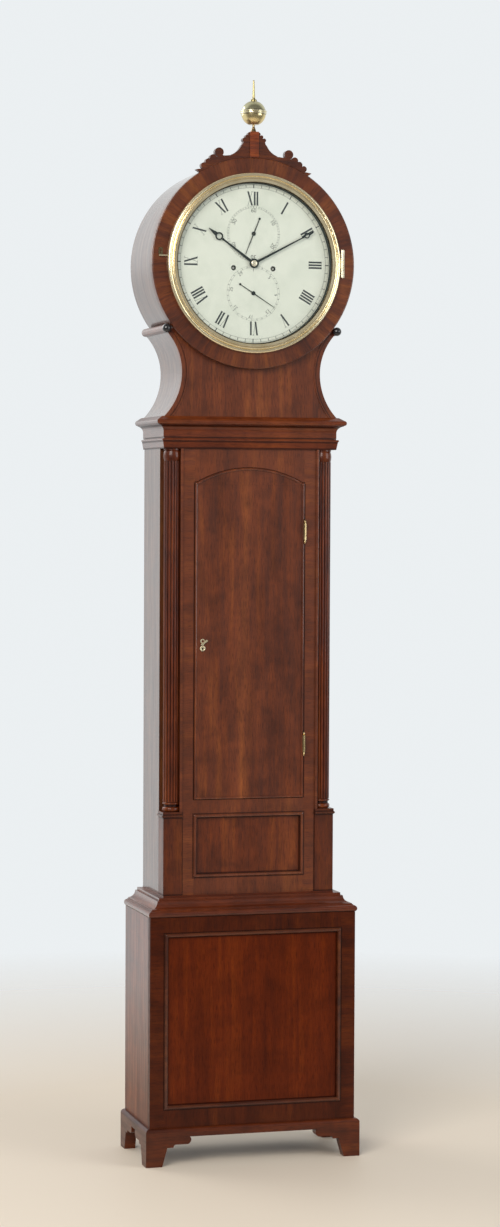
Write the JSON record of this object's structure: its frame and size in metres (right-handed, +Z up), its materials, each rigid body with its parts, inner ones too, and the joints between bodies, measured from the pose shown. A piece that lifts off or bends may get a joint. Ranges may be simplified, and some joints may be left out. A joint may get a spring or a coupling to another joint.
{
  "type": "longcase clock",
  "caption": "Tall longcase clock with a round drum head, a silvered dial under a hinged bezel, reeded corner columns, a trunk door and a plinth on bracket feet.",
  "frame": {"origin": "on the floor, below the middle of the bracket base's bounding box", "axes": "+Z up, -Y out of the dial towards the viewer, +X to the viewer's right"},
  "size_m": [0.4264, 0.2062, 2.0687],
  "materials": {
    "mahogany": "french polish",
    "figured_mahogany": "french polish",
    "oak": "waxed",
    "ebonised_wood": "polished",
    "brass": "lacquered",
    "steel": "polished",
    "blued_steel": "blued",
    "silvered_dial": "silvered and lacquered",
    "cast_iron": "bare",
    "gut": "natural gut",
    "glass": "clear"
  },
  "bodies": {
    "case": {"base_front": "mahogany", "base_sides": "mahogany", "plinth_sides": "mahogany", "plinth_front_frame": "mahogany", "plinth_panel": "figured_mahogany", "plinth_panel_moulding": "mahogany", "plinth_top_moulding": "mahogany", "backboard": "oak", "trunk_sides": "mahogany", "trunk_front_frame": "mahogany", "trunk_lower_panel": "mahogany", "column_blocks": "mahogany", "columns": "mahogany", "throat_frame": "mahogany", "cheeks": "oak", "seatboard": "oak", "door_hinge_posts": "brass", "plate_front": "brass", "plate_back": "brass", "back_cock": "brass", "dial": "silvered_dial", "bell": "brass", "time_line": "gut", "strike_line": "gut"},
    "door": {"trunk_door": "mahogany", "door_hinge_leaves": "brass", "lock_case": "brass", "escutcheon": "brass"},
    "bolt": {"lock_bolt": "steel"},
    "cover": {"escutcheon_cover": "brass"},
    "hood": {"hood_base_moulding": "mahogany", "neck_front": "mahogany", "neck_sides": "mahogany", "ledge_mouldings": "mahogany", "bosses": "ebonised_wood", "drum_shell": "mahogany", "drum_ring": "mahogany", "crest": "mahogany", "finial": "brass", "bezel_fittings": "brass"},
    "bezel_door": {"bezel": "brass", "glass": "glass"},
    "centre": {"centre_wheel": "brass", "minute_hand": "blued_steel"},
    "hour": {"hour_wheel": "brass", "hour_hand": "blued_steel"},
    "motion": {"minute_wheel": "brass"},
    "third": {"third_wheel": "brass"},
    "escape": {"escape_wheel": "brass", "seconds_hand": "blued_steel"},
    "date": {"date_hand": "blued_steel"},
    "great": {"time_great_wheel": "brass"},
    "going_barrel": {"time_barrel": "brass"},
    "striking_barrel": {"strike_barrel": "brass"},
    "anchor": {"pallets": "steel"},
    "pendulum": {"pendulum_rod": "steel", "pendulum_bob": "brass"},
    "going_weight": {"time_weight": "cast_iron"},
    "striking_weight": {"strike_weight": "cast_iron"},
    "bell_hammer": {"hammer": "steel"}
  },
  "joints": [
    {"name": "trunk_door_hinge", "type": "hinge", "parent": "case", "child": "door", "pos_m": [0.1096, -0.0588, 0.999], "axis": [0, 0, 1], "range_deg": [0, 105]},
    {"name": "lock_bolt_slide", "type": "slide", "parent": "door", "child": "bolt", "axis": [-1, 0, 0], "range_m": [0, 0.005]},
    {"name": "escutcheon_cover_pivot", "type": "hinge", "parent": "door", "child": "cover", "pos_m": [-0.0933, -0.0583, 0.994], "axis": [0, 1, 0], "range_deg": [0, 126]},
    {"name": "hood_slide", "type": "slide", "parent": "case", "child": "hood", "axis": [0, -1, 0], "range_m": [0, 0.19]},
    {"name": "bezel_hinge", "type": "hinge", "parent": "hood", "child": "bezel_door", "pos_m": [0.1751, -0.0797, 1.7238], "axis": [0, 0, 1], "range_deg": [0, 120]},
    {"name": "minute_hand_turn", "type": "hinge", "parent": "case", "child": "centre", "pos_m": [0, -0.0269, 1.7203], "axis": [0, 1, 0], "continuous": true},
    {"name": "hour_hand_turn", "type": "hinge", "parent": "case", "child": "hour", "pos_m": [0, -0.0499, 1.7203], "axis": [0, 1, 0], "continuous": true},
    {"name": "motion_wheel_turn", "type": "hinge", "parent": "case", "child": "motion", "pos_m": [0, -0.0469, 1.6933], "axis": [0, 1, 0], "continuous": true},
    {"name": "third_wheel_turn", "type": "hinge", "parent": "case", "child": "third", "pos_m": [0.01164, -0.0359, 1.7486], "axis": [0, 1, 0], "continuous": true},
    {"name": "seconds_hand_turn", "type": "hinge", "parent": "case", "child": "escape", "pos_m": [0, 0.0101, 1.7769], "axis": [0, 1, 0], "continuous": true},
    {"name": "date_hand_turn", "type": "hinge", "parent": "case", "child": "date", "pos_m": [0, -0.0519, 1.6637], "axis": [0, 1, 0], "continuous": true},
    {"name": "great_wheel_turn", "type": "hinge", "parent": "case", "child": "great", "pos_m": [0.0392, 0.0141, 1.7113], "axis": [0, 1, 0], "continuous": true},
    {"name": "going_weight_travel", "type": "slide", "parent": "case", "child": "going_weight", "axis": [0, 0, 1], "range_m": [0, 0.82], "deforming": ["time_line"]},
    {"name": "going_barrel_turn", "type": "hinge", "parent": "case", "child": "going_barrel", "pos_m": [0.0392, -0.0089, 1.7113], "axis": [0, 1, 0], "range_deg": [0, 5200]},
    {"name": "striking_weight_travel", "type": "slide", "parent": "case", "child": "striking_weight", "axis": [0, 0, 1], "range_m": [0, 0.82], "deforming": ["strike_line"]},
    {"name": "striking_barrel_turn", "type": "hinge", "parent": "case", "child": "striking_barrel", "pos_m": [-0.0392, -0.0089, 1.7113], "axis": [0, 1, 0], "range_deg": [-5200, 0]},
    {"name": "pendulum_swing", "type": "hinge", "parent": "case", "child": "pendulum", "pos_m": [0, 0.0431, 1.80236], "axis": [0, 1, 0], "range_deg": [-3, 3]},
    {"name": "anchor_rock", "type": "hinge", "parent": "case", "child": "anchor", "pos_m": [0, 0.0031, 1.80236], "axis": [0, 1, 0], "range_deg": [-3, 3]},
    {"name": "hammer_lift", "type": "hinge", "parent": "case", "child": "bell_hammer", "pos_m": [-0.048, -0.0069, 1.7903], "axis": [0, -1, 0], "range_deg": [0, 7], "stiffness_Nm_per_rad": 0.03, "springref_deg": -11.46}
  ],
  "couplings": [
    {"joint": "hour_hand_turn", "follows": "minute_hand_turn", "ratio": 0.083333},
    {"joint": "motion_wheel_turn", "follows": "minute_hand_turn", "ratio": -1},
    {"joint": "third_wheel_turn", "follows": "minute_hand_turn", "ratio": -7.5},
    {"joint": "seconds_hand_turn", "follows": "minute_hand_turn", "ratio": 60},
    {"joint": "date_hand_turn", "follows": "minute_hand_turn", "ratio": 0.0013441},
    {"joint": "great_wheel_turn", "follows": "minute_hand_turn", "ratio": -0.083333},
    {"joint": "going_barrel_turn", "follows": "going_weight_travel", "rad_per_m": 109.29},
    {"joint": "striking_barrel_turn", "follows": "striking_weight_travel", "rad_per_m": -109.29},
    {"joint": "anchor_rock", "follows": "pendulum_swing", "ratio": 1}
  ]
}
